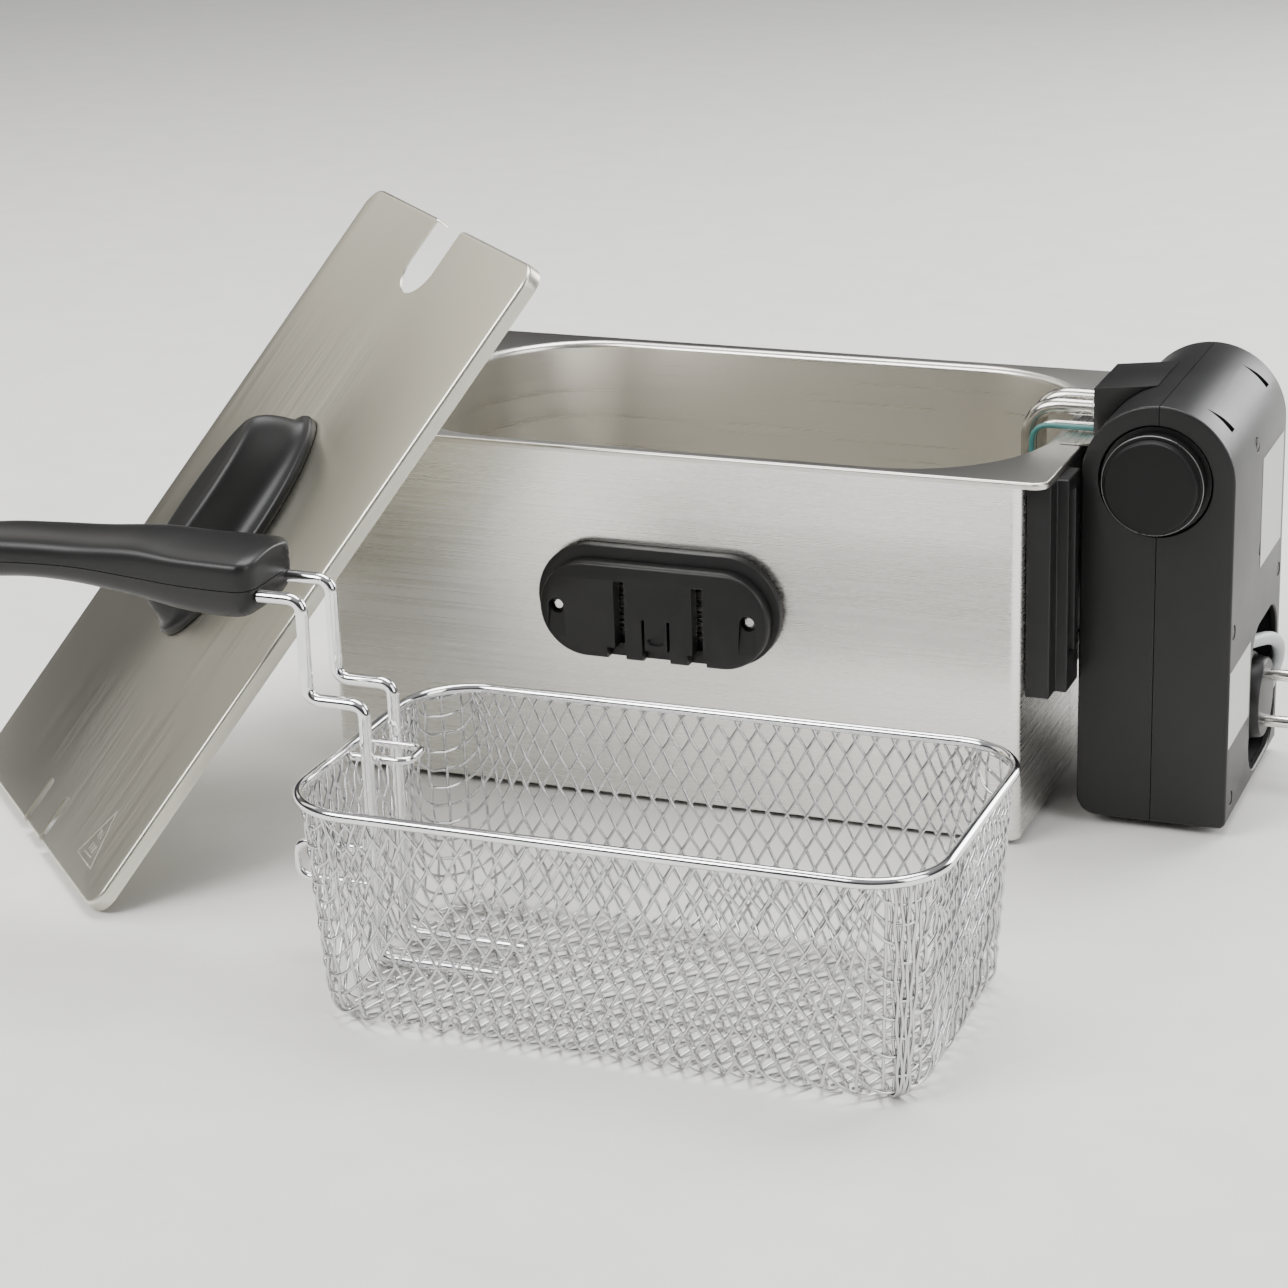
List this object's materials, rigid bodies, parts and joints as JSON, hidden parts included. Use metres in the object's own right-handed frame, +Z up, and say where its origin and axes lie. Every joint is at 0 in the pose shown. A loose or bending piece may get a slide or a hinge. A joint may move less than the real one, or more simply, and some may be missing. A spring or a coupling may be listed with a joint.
{
  "type": "deep fryer",
  "caption": "Stainless steel deep fryer with lift-out oil bowl, detachable control unit and immersion element, leaning lid and wire mesh basket.",
  "frame": {"origin": "on the floor under the middle of the box around the whole layout, without the cord and plug", "axes": "+X along the housing towards the control unit, +Y from the basket towards the housing, +Z up"},
  "size_m": [0.5294, 0.4017, 0.2264],
  "materials": {
    "brushed_steel": "brushed lengthwise, satin",
    "drawn_steel": "drawn and finely brushed",
    "chrome_wire": "bright plated wire",
    "element_tube": "smooth bent tube",
    "capillary_sleeve": "thin teal sleeve",
    "black_plastic": "fine satin grain",
    "grip_plastic": "smooth moulded",
    "knob_plastic": "satin, bright ring at the foot",
    "foot_rubber": "matt",
    "cord_sheath": "smooth pale grey sheath",
    "pin_metal": "bright nickel plate",
    "ceramic": "pale ceramic",
    "button_red": "smooth moulded",
    "zinc_screw": "zinc plated"
  },
  "bodies": {
    "housing": {"outer_housing": "brushed_steel", "base_plate": "black_plastic", "foot_front_left": "foot_rubber", "foot_front_right": "foot_rubber", "foot_rear_left": "foot_rubber", "foot_rear_right": "foot_rubber", "rail_bracket": "black_plastic", "bracket_screw_front": "zinc_screw", "bracket_screw_rear": "zinc_screw", "handle_base_front": "black_plastic", "handle_base_rear": "black_plastic", "handle_cover_front": "black_plastic", "handle_cover_rear": "black_plastic", "handle_screw_front_left": "zinc_screw", "handle_screw_front_right": "zinc_screw", "handle_screw_rear_left": "zinc_screw", "handle_screw_rear_right": "zinc_screw"},
    "bowl": {"oil_bowl": "drawn_steel"},
    "control_unit": {"control_shell_inner": "black_plastic", "control_shell_outer": "black_plastic", "shell_screw_1": "zinc_screw", "shell_screw_2": "zinc_screw", "shell_screw_3": "zinc_screw", "shell_screw_4": "zinc_screw", "shell_screw_5": "zinc_screw", "element_head": "black_plastic", "element_rest_plate": "brushed_steel", "heating_element": "element_tube", "thermostat_probe": "capillary_sleeve", "cutout_probe": "element_tube", "thermostat": "black_plastic", "thermal_cutout": "ceramic", "safety_microswitch": "black_plastic", "terminal_block": "ceramic", "dial_plate": "black_plastic", "cord_tray": "black_plastic", "cord_gland": "black_plastic", "cord_coil": "cord_sheath", "power_cord": "cord_sheath", "power_plug": "black_plastic", "plug_boot": "black_plastic", "plug_pin_upper": "pin_metal", "plug_pin_lower": "pin_metal"},
    "dial": {"thermostat_knob": "knob_plastic", "thermostat_shaft": "zinc_screw"},
    "reset": {"reset_button": "button_red"},
    "lid": {"lid_sheet": "brushed_steel", "lid_handle": "black_plastic", "lid_screw_lower": "zinc_screw", "lid_screw_upper": "zinc_screw"},
    "basket": {"basket_tub": "chrome_wire", "basket_rim": "chrome_wire", "brace_loop": "chrome_wire", "drain_hook": "chrome_wire", "handle_wire_front": "chrome_wire", "handle_wire_rear": "chrome_wire", "grip_upper": "grip_plastic", "grip_lower": "grip_plastic"}
  },
  "joints": [
    {"name": "bowl_lift", "type": "slide", "parent": "housing", "child": "bowl", "axis": [0, 0, 1], "range_m": [0, 0.1]},
    {"name": "unit_lift", "type": "slide", "parent": "bowl", "child": "control_unit", "axis": [0, 0, 1], "range_m": [0, 0.15]},
    {"name": "dial_turn", "type": "hinge", "parent": "control_unit", "child": "dial", "pos_m": [0.2239, 0.0536, 0.1425], "axis": [0, 1, 0], "range_deg": [0, 270]},
    {"name": "reset_press", "type": "slide", "parent": "control_unit", "child": "reset", "axis": [0, -1, 0], "range_m": [0, 0.0012], "stiffness_N_per_m": 400},
    {"name": "lid_slide", "type": "slide", "parent": "bowl", "child": "lid", "axis": [0.4532, 0.4681, 0.7586], "range_m": [0, 0.1]},
    {"name": "basket_lift", "type": "slide", "parent": "housing", "child": "basket", "axis": [0, 0, 1], "range_m": [0, 0.12]}
  ]
}
